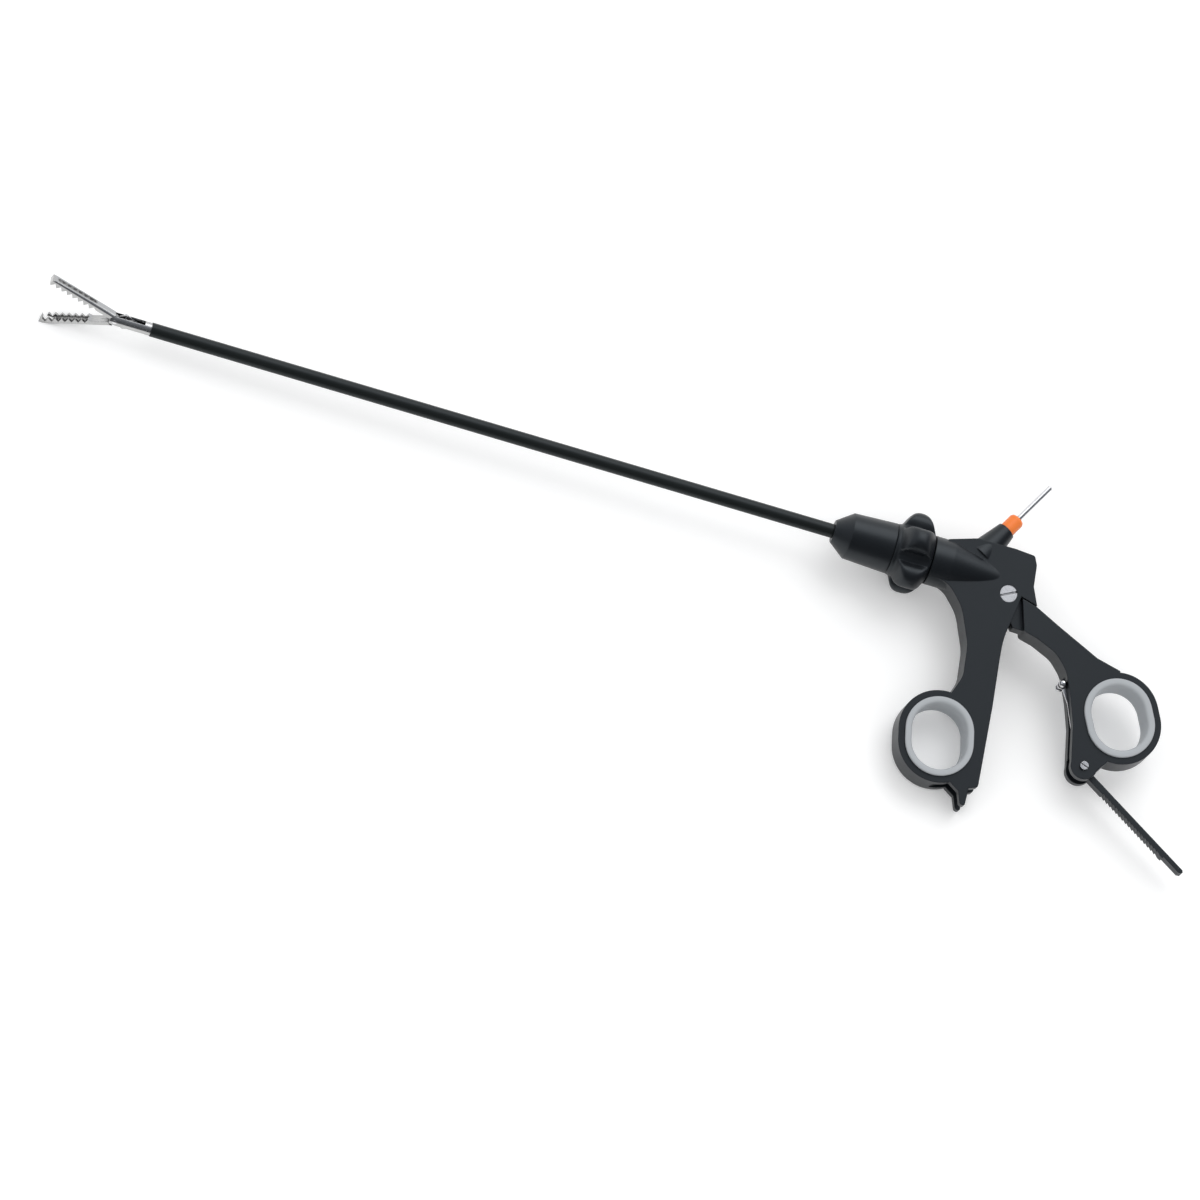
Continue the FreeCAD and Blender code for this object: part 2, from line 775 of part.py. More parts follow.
def corner_edges(feature, spots, reach=0.6):
    """The edges across the plate that stand at the given corners."""
    names = []
    for index, edge in enumerate(feature.Shape.Edges, start=1):
        box = edge.BoundBox
        if box.ZLength < 3 or max(box.XLength, box.YLength) > 0.01:
            continue
        for x, y in spots:
            if math.hypot(box.XMin - as_size(x).number, box.YMin - as_size(y).number) < reach:
                names.append("Edge{}".format(index))
    return names


def round_corners(body, label, feature, radius, spots):
    """Round the upright edges at some corners, so that the outline flows."""
    fillet = body.newObject("PartDesign::Fillet", label)
    fillet.Base = (feature, corner_edges(feature, spots))
    bind(fillet, "Radius", radius)
    doc.recompute()
    return fillet


def handle_plate(label, outline, corners, ring_at, ring_angle):
    """A moulded handle plate: its outline rounded at the corners, with the ring's body joined on."""
    body = doc.addObject("PartDesign::Body", label)
    pad = body.newObject("PartDesign::Pad", label + "_web")
    pad.Profile = polygon(label + "_outline", outline, body)
    pad.SideType = "Symmetric"
    bind(pad, "Length", S["handle_thickness"])
    doc.recompute()
    feature = pad
    for number, (radius, spots) in enumerate(corners):
        feature = round_corners(body, "{}_corner{}".format(label, number), feature, radius, spots)
    loop = body.newObject("PartDesign::Pad", label + "_loop")
    loop.Profile = stadium(label + "_loop", *ring_at, ring_angle, S["ring_straight"], ring_outer, body)
    loop.SideType = "Symmetric"
    bind(loop, "Length", S["handle_thickness"])
    body.Tip = loop
    doc.recompute()
    return body, loop


def ring_hole(label, ring_at, ring_angle):
    """The cutter for a ring's opening, the size of the soft insert that fills it."""
    face = insert_face + 1
    return extrude(label, stadium(label, *ring_at, ring_angle, S["ring_straight"], S["insert_rad"]), -face, face)


def finger_ring_at():
    return S["finger_ring_x"], S["finger_ring_y"]


def thumb_ring_at():
    return S["thumb_ring_x"], S["thumb_ring_y"]


def from_pivot(dx, dy):
    """A point of the handles, given from the pivot screw's axis."""
    return pivot_x + dx, pivot_y + dy


def housing_plate():
    outline = [
        from_pivot(-25.0, 13.0),
        from_pivot(-15.0, 16.3),
        from_pivot(-1.2, 16.5),
        from_pivot(6.0, 16.0),
        from_pivot(7.4, 12.8),
        from_pivot(8.1, 5.0),
        from_pivot(10.8, -1.35),
        from_pivot(4.6, 0.4),
        from_pivot(4.1, -3.7),
        from_pivot(2.9, -10.7),
        from_pivot(1.9, -16.2),
        from_pivot(2.3, -24.0),
        from_pivot(3.7, -41.0),
        from_pivot(5.0, -65.0),
        from_pivot(5.3, -71.0),
        from_pivot(2.2, -72.2),
        from_pivot(2.2, -78.9),
        from_pivot(0.4, -78.6),
        from_pivot(-1.2, -74.2),
        from_pivot(-4.2, -72.3),
        from_pivot(-12.0, -66.0),
        from_pivot(-12.0, -42.0),
        from_pivot(-8.9, -33.5),
        from_pivot(-10.0, -22.0),
        from_pivot(-15.0, -9.5),
        from_pivot(-21.5, -2.5),
        from_pivot(-28.0, -1.6),
    ]
    corners = [
        (4.0, [outline[1], outline[21]]),
        (1.2, [outline[3], outline[4], outline[14], outline[17]]),
        (0.7, [outline[16]]),
        (30.0, [outline[10]]),
        (8.0, [outline[22], outline[25]]),
        (16.0, [outline[23], outline[24]]),
    ]
    return handle_plate("housing_plate", outline, corners, finger_ring_at(), S["finger_ring_angle"])


def along_electrode(item):
    """Carry a piece from the electrode's own frame, where +X points out of the boss."""
    return place(item, x=S["electrode_foot_x"], angle=S["electrode_angle"])


def housing_barrel():
    """The round barrel behind the knob, which tapers away into the housing's two flat faces."""
    horn_end = barrel_shoulder + S["horn_length"]
    half = [
        (barrel_front, 0),
        (barrel_front, S["barrel_rad"]),
        (barrel_shoulder, S["barrel_rad"]),
        (horn_end, handle_face - 0.6),
        (horn_end, 0),
    ]
    return turned("housing_barrel", half)


def electrode_boss():
    half = [
        (S["boss_foot"], 0),
        (S["boss_foot"], S["boss_foot_rad"]),
        (S["boss_top"], S["boss_top_rad"]),
        (S["boss_top"], 0),
    ]
    return moved("boss", turned("boss_cone", half), x=S["electrode_foot_x"], angle=S["electrode_angle"])


def electrode_bores():
    deep = rod_along_x("contact_bore", as_size(0.0), collar_seat + 1, electrode_bore)
    middle = rod_along_x("electrode_seat", S["electrode_root"], collar_seat + 1, S["electrode_root_rad"])
    seat = rod_along_x("collar_bore", collar_seat, S["boss_top"] + 1, S["collar_rad"])
    bores = join("electrode_bores", [deep, middle, seat])
    return moved("electrode_bores_placed", bores, x=S["electrode_foot_x"], angle=S["electrode_angle"])


def head_recess(label, side):
    """A round seat for the pivot screw's head or its nut, sunk in one face."""
    low, high = (head_seat, handle_face + 1) if side > 0 else (-handle_face - 1, -head_seat)
    return pin_along_z(label, pivot_x, pivot_y, low, high, S["pivot_head_rad"])


def drive_slots():
    """The room inside the housing for the spool, and for the thumb handle's tongue as it swings."""
    swing_low = pivot_y - 17.2
    return [
        block("spool_slot", (spool_front - 4, slot_end), (pivot_y - 4, S["spool_rad"] + 0.15), (-slot_half, slot_half)),
        block("tongue_slot", (pivot_x - 5.2, pivot_x + 16), (swing_low, pivot_y - 1.2), (-slot_half, slot_half)),
    ]


def catch_slot():
    """The gap between the catch's two cheeks, which the ratchet bar swings into."""
    half = S["catch_slot_width"] / 2
    corners = [
        from_pivot(9.0, -62.5),
        from_pivot(-14.0, -75.5),
        from_pivot(-14.0, -85.0),
        from_pivot(9.0, -85.0),
    ]
    return plate("catch_slot", corners, -half, half)


def handle_body():
    body, _ = housing_plate()
    barrel_core = rod_along_x("hub_bore", barrel_front - 1, barrel_bore_end, barrel_bore)
    clip_groove = rod_along_x("clip_groove", clip_start, clip_end, barrel_bore + S["clip_height"] / 2)
    rod_way = rod_along_x("rod_way", barrel_bore_end - 1, spool_front, S["spool_core_rad"] + 0.15)
    screw_way = pin_along_z("pivot_bore", pivot_x, pivot_y, -handle_face - 1, handle_face + 1, S["pivot_screw_rad"])
    whole = join("housing", [body, housing_barrel(), electrode_boss()])
    tools = [
        barrel_core,
        clip_groove,
        rod_way,
        electrode_bores(),
        screw_way,
        head_recess("head_seat", 1),
        head_recess("nut_seat", -1),
        ring_hole("finger_hole", finger_ring_at(), S["finger_ring_angle"]),
        catch_slot(),
    ]
    return finish(cut("handle", whole, tools + drive_slots()), "handle_body")


def knob_clip():
    """The split ring that holds the knob's hub in the barrel."""
    outer = barrel_bore + S["clip_height"] / 2
    inner = S["hub_rad"] - S["clip_height"] / 2 + S["running_gap"]
    gap = block("clip_gap", (clip_start - 1, clip_end + 1), (-outer - 1, 0), (-0.9, 0.9))
    return finish(cut("clip", ring("clip_ring", clip_start, clip_end, inner, outer), [gap]), "knob_clip")


def pivot_screw():
    slot_floor = head_top - S["screw_slot_depth"]
    pieces = [
        pin_along_z("pivot_shank", pivot_x, pivot_y, -head_top, head_seat, S["pivot_screw_rad"]),
        pin_along_z("pivot_head", pivot_x, pivot_y, head_seat, head_top, S["pivot_head_rad"]),
    ]
    half = S["screw_slot_width"] / 2
    reach = S["pivot_head_rad"] + 1
    slot = moved("screw_slot", block("screw_slot_bar", (-reach, reach), (-half, half), (slot_floor, head_top + 1)),
                 x=pivot_x, y=pivot_y, angle=28)
    return finish(cut("screw", join("screw_blank", pieces), [slot]), "pivot_screw")


def pivot_nut():
    disc = pin_along_z("nut_disc", pivot_x, pivot_y, -head_top, -head_seat, S["pivot_head_rad"])
    bore = pin_along_z("nut_bore", pivot_x, pivot_y, -head_top - 1, -head_seat + 1, S["pivot_screw_rad"])
    half = S["screw_slot_width"] / 2
    reach = S["pivot_head_rad"] + 1
    slot = block("nut_slot", (pivot_x - reach, pivot_x + reach), (pivot_y - half, pivot_y + half),
                 (-head_top - 1, -head_top + S["screw_slot_depth"]))
    return finish(cut("pivot_round_nut", disc, [bore, slot]), "pivot_nut")


# Electrode

def electrode_pin():
    tip = S["electrode_tip"]
    shoulder = collar_end + S["electrode_shoulder"]
    half = [
        (S["electrode_root"], 0),
        (S["electrode_root"], S["electrode_root_rad"]),
        (shoulder, S["electrode_root_rad"]),
        (shoulder, S["electrode_rad"]),
        (tip - 0.5, S["electrode_rad"]),
        (tip, S["electrode_rad"] - 0.4),
        (tip, 0),
    ]
    return finish(along_electrode(turned("electrode", half)), "electrode_pin")


def electrode_collar():
    half = [
        (collar_seat, S["electrode_root_rad"]),
        (collar_seat, S["collar_rad"]),
        (collar_end - 1.0, S["collar_rad"]),
        (collar_end - 0.3, S["collar_rad"] - 0.4),
        (collar_end, S["collar_rad"] - 1.1),
        (collar_end, S["electrode_root_rad"]),
    ]
    return finish(along_electrode(turned("collar", half)), "electrode_collar")


def contact_plunger():
    """The domed button that carries current from the electrode pin to the sliding rod."""
    start = plunger_start
    end = start + S["plunger_length"]
    half = [
        (start, 0),
        (start, S["contact_rad"] * 0.5),
        (start + 0.6, S["contact_rad"]),
        (end, S["contact_rad"]),
        (end, 0),
    ]
    return finish(along_electrode(turned("plunger", half)), "contact_plunger")


def contact_spring():
    """A compression spring between the electrode pin's root and the plunger."""
    start = plunger_start.number + DIMENSIONS["plunger_length"]
    length = DIMENSIONS["electrode_root"] - start
    wire = DIMENSIONS["contact_wire"]
    radius = DIMENSIONS["contact_rad"] - wire
    pitch = (length - 2 * wire) / DIMENSIONS["contact_turns"]
    helix = Part.makeHelix(pitch, length - 2 * wire, radius)
    section = Part.Wire(Part.makeCircle(wire, Vector(radius, 0, 0), Vector(0, 1, 0)))
    coil = Part.Wire(helix.Edges).makePipeShell([section], True, True)
    spring = doc.addObject("Part::Feature", "contact_coil")
    turn = Rotation(Vector(0, 0, 1), DIMENSIONS["electrode_angle"]) * Rotation(Vector(0, 1, 0), 90)
    lean = Vector(S["electrode_foot_x"].number, 0, 0) + turn.multVec(Vector(0, 0, start + wire))
    spring.Shape = coil
    spring.Placement = Placement(lean, turn)
    return finish(spring, "contact_spring")


# Soft inserts in the two rings

def ring_insert(label, ring_at, ring_angle):
    outer = stadium(label + "_outer", *ring_at, ring_angle, S["ring_straight"], S["insert_rad"])
    inner = stadium(label + "_inner", *ring_at, ring_angle, S["ring_straight"], S["insert_rad"] - S["insert_wall"])
    band = extrude(label + "_band", outer, -insert_face, insert_face)
    hole = extrude(label + "_hole", inner, -insert_face - 1, insert_face + 1)
    return finish(cut(label, band, [hole]), label)


# Thumb handle

def from_ratchet(dx, dy):
    """A point of the thumb handle's lower end, given from the ratchet screw's axis."""
    return S["ratchet_x"] + dx, S["ratchet_y"] + dy


def thumb_plate():
    outline = [
        from_pivot(5.3, -0.3),
        from_pivot(10.8, -1.75),
        from_pivot(20.2, -6.3),
        from_pivot(35.9, -13.5),
        from_pivot(44.8, -15.6),
        from_pivot(47.3, -30.7),
        from_pivot(48.1, -48.3),
        from_ratchet(2.9, -3.1),
        from_ratchet(-4.3, -2.2),
        from_ratchet(-7.2, 13.4),
        from_ratchet(-10.1, 22.4),
        from_ratchet(-13.8, 31.5),
        from_ratchet(-18.7, 36.5),
        from_pivot(13.8, -12.9),
        from_pivot(8.5, -11.6),
    ]
    corners = [
        (14.0, [outline[10], outline[11]]),
        (10.0, [outline[12]]),
        (1.5, [outline[14]]),
    ]
    return handle_plate("thumb_plate", outline, corners, thumb_ring_at(), S["thumb_ring_angle"])


def drive_tongue():
    """The thin tongue that turns on the pivot screw, with two prongs that straddle the spool."""
    outline = [
        from_pivot(0.6, 2.3),
        from_pivot(9.5, -1.9),
        from_pivot(10.5, -11.0),
        from_pivot(4.6, -10.8),
        from_pivot(-1.6, -1.9),
    ]
    hub = pin_along_z("tongue_hub", pivot_x, pivot_y, -tongue_half, tongue_half, S["tongue_hub_rad"])
    web = plate("tongue_web", outline, -tongue_half, tongue_half)
    half = S["prong_stem_width"] / 2
    stem = block("prong_stem", (-half, half), (0, prong_reach), (-tongue_half, tongue_half))
    tip = pin_along_z("prong_tip", 0, prong_reach, -tongue_half, tongue_half, S["prong_width"] / 2)
    prong = moved("prong", join("prong_rough", [stem, tip]), x=pivot_x, y=pivot_y, angle=prong_lean)
    return join("tongue", [hub, web, prong])


def thumb_handle():
    body, _ = thumb_plate()
    boss = pin_along_z("ratchet_boss", *from_ratchet(0, 0), -handle_face, handle_face, S["ratchet_boss_rad"])
    core_gap = S["spool_core_rad"] + 0.15
    fork_gap = block("fork_gap", (spool_front - 6, spool_rear + 6), (pivot_y + S["tongue_hub_rad"], 6),
                     (-core_gap, core_gap))
    bar_half = S["ratchet_width"] / 2 + 0.15
    bar_room = plate("ratchet_room", [
        from_ratchet(-5.6, 1.2),
        from_ratchet(-3.4, 4.6),
        from_ratchet(2.0, 4.6),
        from_ratchet(12.0, -1.2),
        from_ratchet(12.0, -12.0),
        from_ratchet(-12.0, -12.0),
        from_ratchet(-12.0, 1.2),
    ], -bar_half, bar_half)
    lever_room = plate("lever_room", [
        from_ratchet(-3.0, 1.0),
        from_ratchet(1.0, 3.0),
        from_ratchet(-3.6, 13.4),
        from_ratchet(-7.4, 24.0),
        from_ratchet(-9.6, 28.6),
        from_ratchet(-15.0, 31.0),
        from_ratchet(-15.0, 26.0),
        from_ratchet(-9.0, 10.0),
        from_ratchet(-7.0, 0.0),
    ], -1.2, 1.7)
    screw_way = pin_along_z("ratchet_bore", *from_ratchet(0, 0), -handle_face - 1, handle_face + 1,
                            S["ratchet_screw_rad"])
    pivot_way = pin_along_z("tongue_bore", pivot_x, pivot_y, -handle_face, handle_face,
                            S["pivot_screw_rad"] + S["running_gap"])
    hole = ring_hole("thumb_hole", thumb_ring_at(), S["thumb_ring_angle"])
    whole = join("thumb_rough", [body, boss, drive_tongue()])
    return finish(cut("thumb", whole, [fork_gap, bar_room, lever_room, screw_way, pivot_way, hole]), "thumb_handle")


# Ratchet and release lever

def ratchet_screw():
    top = handle_face + S["ratchet_head_height"]
    shank = pin_along_z("ratchet_shank", *from_ratchet(0, 0), -handle_face, handle_face, S["ratchet_screw_rad"])
    head = pin_along_z("ratchet_head", *from_ratchet(0, 0), handle_face, top, S["ratchet_head_rad"])
    half = S["screw_slot_width"] / 4
    reach = S["ratchet_head_rad"] + 1
    slot = moved("ratchet_screw_slot", block("ratchet_slot_bar", (-reach, reach), (-half, half),
                                             (top - S["screw_slot_depth"], top + 1)),
                 x=S["ratchet_x"], y=S["ratchet_y"], angle=-20)
    return finish(cut("ratchet_bolt", join("ratchet_bolt_blank", [shank, head]), [slot]), "ratchet_screw")


def ratchet_bar():
    """The toothed bar, drawn along +X from its eye and then turned to where it is parked."""
    half = S["ratchet_height"] / 2
    end = S["ratchet_length"]
    tip_start = end - S["ratchet_tip_length"]
    pitch = S["ratchet_tooth_pitch"]
    first = tip_start - pitch * S["ratchet_teeth"] - 1.5
    outline = [(0, half), (0, -half), (first, -half)]
    for index in range(int(DIMENSIONS["ratchet_teeth"])):
        root_x = first + pitch * index
        outline.append((root_x + pitch * 0.1, -half + S["ratchet_tooth_depth"]))
        outline.append((root_x + pitch, -half))
    outline += [
        (tip_start, -half),
        (tip_start, half - S["ratchet_tip_height"]),
        (end - 1.0, half - S["ratchet_tip_height"]),
        (end, half - S["ratchet_tip_height"] + 0.7),
        (end, half - 0.5),
        (end - 0.6, half),
    ]
    wide = S["ratchet_width"] / 2
    lever_low = wide - S["lever_thickness"] - 0.35
    bar = join("ratchet_rough", [
        plate("ratchet_blank", outline, -wide, wide),
        pin_along_z("ratchet_eye", 0, 0, -wide, wide, S["ratchet_eye_rad"]),
    ])
    room = pin_along_z("ratchet_lever_room", 0, 0, lever_low, wide + 1, S["lever_eye_rad"] + 1.6)
    bore = pin_along_z("ratchet_eye_bore", 0, 0, -wide - 1, wide + 1, S["ratchet_screw_rad"] + S["running_gap"])
    shape = cut("ratchet", bar, [room, bore])
    return finish(place(shape, x=S["ratchet_x"], y=S["ratchet_y"], angle=S["ratchet_park"]), "ratchet_bar")


def lever_heights():
    top = S["ratchet_width"] / 2 - 0.3
    return top - S["lever_thickness"], top - 0.05


def release_lever():
    low, high = lever_heights()
    strap = plate("lever_strap", [
        from_ratchet(-1.8, 0.0),
        from_ratchet(1.4, 1.4),
        from_ratchet(-4.6, 12.6),
        from_ratchet(-8.2, 22.0),
        from_ratchet(-12.4, 28.0),
        from_ratchet(-14.4, 27.6),
        from_ratchet(-10.2, 21.2),
        from_ratchet(-6.6, 12.0),
    ], low, high)
    eye = pin_along_z("lever_eye", *from_ratchet(0, 0), low, high, S["lever_eye_rad"])
    end = pin_along_z("lever_end", *from_ratchet(-13.6, 27.2), low, high, S["lever_bar_rad"] + 0.8)
    bores = [
        pin_along_z("lever_bore", *from_ratchet(0, 0), low - 1, high + 1, S["ratchet_screw_rad"] + S["running_gap"]),
        pin_along_z("lever_end_bore", *from_ratchet(-13.6, 27.2), low - 1, high + 1, S["lever_bar_rad"]),
    ]
    return finish(cut("lever", join("lever_rough", [strap, eye, end]), bores), "release_lever")


def lever_crossbar():
    """The short bar across the lever's free end, with a ball at each end for the finger."""
    reach = S["lever_ball_spacing"] / 2
    spot = from_ratchet(-13.6, 27.2)
    pieces = [pin_along_z("crossbar", *spot, -reach, reach, S["lever_bar_rad"])]
    for height in (-reach, reach):
        ball = doc.addObject("Part::Sphere", "crossbar_ball")
        bind(ball, "Radius", S["lever_ball_rad"])
        pieces.append(place(ball, x=spot[0], y=spot[1], z=height))
    return finish(join("crossbar_whole", pieces), "lever_crossbar")


def build():
    insulation_tube()
    shaft_tube()
    nose_cone()
    rotation_knob()
    knob_seal()
    shaft_nut()
    rod_seal()
    jaw_yoke()
    jaw_pin()
    push_rod()
    drive_spool()
    disc_springs()
    rod_nut()
    crosshead()
    crosshead_pin()
    for side, name in ((1, "upper"), (-1, "lower")):
        jaw(name + "_jaw", side)
        link(name + "_link", side)
        link_pin(name + "_link_pin", side)
    handle_body()
    knob_clip()
    pivot_screw()
    pivot_nut()
    electrode_pin()
    electrode_collar()
    contact_plunger()
    contact_spring()
    ring_insert("finger_ring_insert", finger_ring_at(), S["finger_ring_angle"])
    ring_insert("thumb_ring_insert", thumb_ring_at(), S["thumb_ring_angle"])
    thumb_handle()
    ratchet_screw()
    ratchet_bar()
    release_lever()
    lever_crossbar()
    doc.recompute()


def export():
    """Check every object and write each sub-part to its own file."""
    failed = [item.Name for item in doc.Objects if "Invalid" in item.State or "Error" in item.State]
    if failed:
        raise RuntimeError("not computed: {}".format(", ".join(failed)))
    for item in finished:
        if item.Shape.isNull() or not item.Shape.isValid():
            raise RuntimeError("not a valid shape: {}".format(item.Label))
    os.makedirs("parts", exist_ok=True)
    for item in finished:
        item.Shape.exportStep("parts/{}.step".format(item.Label))
        print("{:20s} {:2d} solid(s) {:10.2f} mm3".format(item.Label, len(item.Shape.Solids), item.Shape.Volume))


build()
export()
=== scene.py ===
"""Dresses the laparoscopic grasper: its finishes, knob, ring inserts, floor, light and camera."""
import json
import math

import bmesh
import bpy
from mathutils import Matrix, Vector


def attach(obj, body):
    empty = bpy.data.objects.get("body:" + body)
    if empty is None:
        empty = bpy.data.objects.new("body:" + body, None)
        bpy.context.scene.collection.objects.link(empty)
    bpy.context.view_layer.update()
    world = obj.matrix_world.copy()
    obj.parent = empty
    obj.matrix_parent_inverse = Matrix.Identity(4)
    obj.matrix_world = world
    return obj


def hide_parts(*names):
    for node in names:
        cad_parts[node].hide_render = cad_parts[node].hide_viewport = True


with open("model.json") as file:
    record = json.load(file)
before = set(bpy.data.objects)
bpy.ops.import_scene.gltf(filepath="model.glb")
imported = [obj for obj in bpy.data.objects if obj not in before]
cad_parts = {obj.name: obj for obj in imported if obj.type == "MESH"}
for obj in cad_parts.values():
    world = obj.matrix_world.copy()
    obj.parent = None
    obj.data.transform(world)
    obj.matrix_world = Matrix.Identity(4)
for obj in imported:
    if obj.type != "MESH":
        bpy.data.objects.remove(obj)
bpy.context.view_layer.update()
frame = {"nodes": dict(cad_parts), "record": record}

MM = 0.001

# The photograph's frame is 1200 pixels wide, and 2.87 of them are one millimetre at the nose.
PICTURE = 1200
PIXELS_PER_MM = 2.87
NOSE_PIXEL = (833, 531.2)
CAMERA_DISTANCE = 5000 * MM
SENSOR_WIDTH = 36
CLIP = (0.05, 50)

# The camera's right-hand and upward directions in the object's frame.
CAMERA_RIGHT = Vector((0.949, 0.2297, 0.210))
CAMERA_UP = Vector((-0.2797, 0.926, 0.250))

# The floor carries the lobes of the knob, the finger ring and the tip of a jaw.
FLOOR_POINT = Vector((20 * MM, 0, -15 * MM))
FLOOR_SLOPE = (-0.026, -0.116)
FLOOR_SIZE = 40.0
FLOOR_COLOUR = (0.93, 0.935, 0.94, 1)
FLOOR_GLOW = 0.16

# The knob, in millimetres from the nose's tip and from the shaft's axis.
KNOB_FRONT = 21.2
KNOB_REAR = 35.2
HUB_END = 43.2
KNOB_BORE = 2.07
KNOB_RAD = 9.0
KNOB_WAIST = 9.9
HUB_RAD = 5.0
SEAL_GROOVE = (37.7, 38.9, 4.1)
CLIP_GROOVE = (40.95, 41.85, 4.5)
LOBE_COUNT = 5
LOBE_TURN = math.radians(7.4)
LOBE_TIP = 15.2
LOBE_END_RAD = 4.6
LOBE_HALF_LENGTH = 7.2
LOBE_SHIFT = 0.7
LOBE_CREST_BLEND = 1.2
LOBE_FOOT_BLEND = 1.6
KNOB_EDGE = 0.8
KNOB_STEPS_ROUND = 180
KNOB_STEPS_ALONG = 44
SHARP_ANGLE = math.radians(35)

# The grey ring inserts: centre, angle of the long axis and wall, then what both share.
RING_STRAIGHT = 4.0
RING_HALF_HEIGHT = 6.0
RING_OUTER = 12.2
FINGER_RING = ((52.6, -62.4), math.radians(-79), 2.35)
THUMB_RING = ((113.0, -37.6), math.radians(-64.5), 2.6)
RING_INNER_EDGE = 1.1
RING_OUTER_EDGE = 0.35
RING_STEPS = 48
CORNER_STEPS = 6

# How far the edges of plastic and of steel are eased, and the normals' match that marks an edge.
PLASTIC_EDGE = 0.45 * MM
STEEL_EDGE = 0.12 * MM
EDGE_SAMPLES = 4
EDGE_MATCH = (0.99, 0.80)

# Patterns, in features per metre.
PLASTIC_DRIFT = 45
PLASTIC_PATCHES = 160
STEEL_PATCHES = 300
STEEL_LINES = 9000
ALONG_SHAFT = (0.1, 1, 1)

# The faint blue of light on the plastics, the steel's edge colour (partly wear and partly painted
# highlight), and its painted shade colour deep in recesses.
PLASTIC_TINT = (0.86, 0.94, 1.0, 1)
EDGE_WEAR_AND_HIGHLIGHT_STEEL = (0.85, 0.85, 0.85)
PAINTED_SHADE_STEEL = (0.03, 0.03, 0.032)
PAINTED_SHADE_SAMPLES = 8
PAINTED_SHADE_DEPTH = -0.35

# The strength of the world's even light.
EVEN_LIGHT = 0.82

# What reflections show of the studio, from the picture's lower side, 0, to its upper side, 1.
STUDIO = (
    (0.0, (0.03, 0.033, 0.038)),
    (0.5, (0.16, 0.17, 0.19)),
    (0.72, (0.34, 0.36, 0.40)),
    (0.9, (0.92, 0.95, 1.0)),
    (1.0, (1.0, 1.0, 1.0)),
)


def link(tree, start, end):
    """Joins one node's output socket to another's input."""
    tree.links.new(start, end)


def number_ramp(tree, value, low, high):
    """A node that turns 0..1 into low..high."""
    node = tree.nodes.new("ShaderNodeMapRange")
    link(tree, value, node.inputs["Value"])
    node.inputs["To Min"].default_value = low
    node.inputs["To Max"].default_value = high
    return node.outputs["Result"]


def noise(tree, where, scale, detail=3.0):
    """A noise pattern, with its scale in features per metre."""
    node = tree.nodes.new("ShaderNodeTexNoise")
    node.inputs["Scale"].default_value = scale
    node.inputs["Detail"].default_value = detail
    link(tree, where, node.inputs["Vector"])
    return node.outputs["Fac"]


def blend_colours(tree, amount, first, second):
    """A colour between two, by amount; each is a colour or a node's output."""
    node = tree.nodes.new("ShaderNodeMix")
    node.data_type = "RGBA"
    for colour, name in ((first, "A"), (second, "B")):
        if isinstance(colour, tuple):
            node.inputs[name].default_value = (*colour, 1)
        else:
            link(tree, colour, node.inputs[name])
    link(tree, amount, node.inputs["Factor"])
    return node.outputs["Result"]


def bump(tree, height, depth, surface):
    """Turns a pattern into a shallow relief on a surface's normals, with its depth in metres."""
    node = tree.nodes.new("ShaderNodeBump")
    node.inputs["Strength"].default_value = 1.0
    node.inputs["Distance"].default_value = depth
    link(tree, height, node.inputs["Height"])
    link(tree, surface, node.inputs["Normal"])
    return node.outputs["Normal"]


def soft_edges(tree, radius, edge_patches):
    """Normals with every edge eased by radius, and a patchy edge mask, 0 on flats, for a colour that is
    partly wear and partly painted highlight.
    """
    eased = tree.nodes.new("ShaderNodeBevel")
    eased.samples = EDGE_SAMPLES
    eased.inputs["Radius"].default_value = radius
    flat = tree.nodes.new("ShaderNodeNewGeometry")
    match = tree.nodes.new("ShaderNodeVectorMath")
    match.operation = "DOT_PRODUCT"
    link(tree, eased.outputs["Normal"], match.inputs[0])
    link(tree, flat.outputs["Normal"], match.inputs[1])
    edge = tree.nodes.new("ShaderNodeMapRange")
    edge.inputs["From Min"].default_value, edge.inputs["From Max"].default_value = EDGE_MATCH
    link(tree, match.outputs["Value"], edge.inputs["Value"])
    wear_and_highlight = tree.nodes.new("ShaderNodeMath")
    wear_and_highlight.operation = "MULTIPLY"
    link(tree, edge.outputs["Result"], wear_and_highlight.inputs[0])
    link(tree, edge_patches, wear_and_highlight.inputs[1])
    return eased.outputs["Normal"], wear_and_highlight.outputs["Value"]


def open_to_light(tree, shade_reach):
    """How open a place is to the light, 1 on free faces and towards 0 deep in a recess; used to paint
    shade into a colour.
    """
    node = tree.nodes.new("ShaderNodeAmbientOcclusion")
    node.samples = PAINTED_SHADE_SAMPLES
    node.inputs["Distance"].default_value = shade_reach
    return node.outputs["AO"]


def stretched(tree, scale):
    """The object's own coordinates, drawn out by a factor along each axis."""
    where = tree.nodes.new("ShaderNodeTexCoord")
    mapping = tree.nodes.new("ShaderNodeMapping")
    mapping.inputs["Scale"].default_value = scale
    link(tree, where.outputs["Object"], mapping.inputs["Vector"])
    return mapping.outputs["Vector"]


def new_material(name):
    """A material and its main shader."""
    material = bpy.data.materials.new(name)
    material.use_nodes = True
    return material, material.node_tree, material.node_tree.nodes["Principled BSDF"]


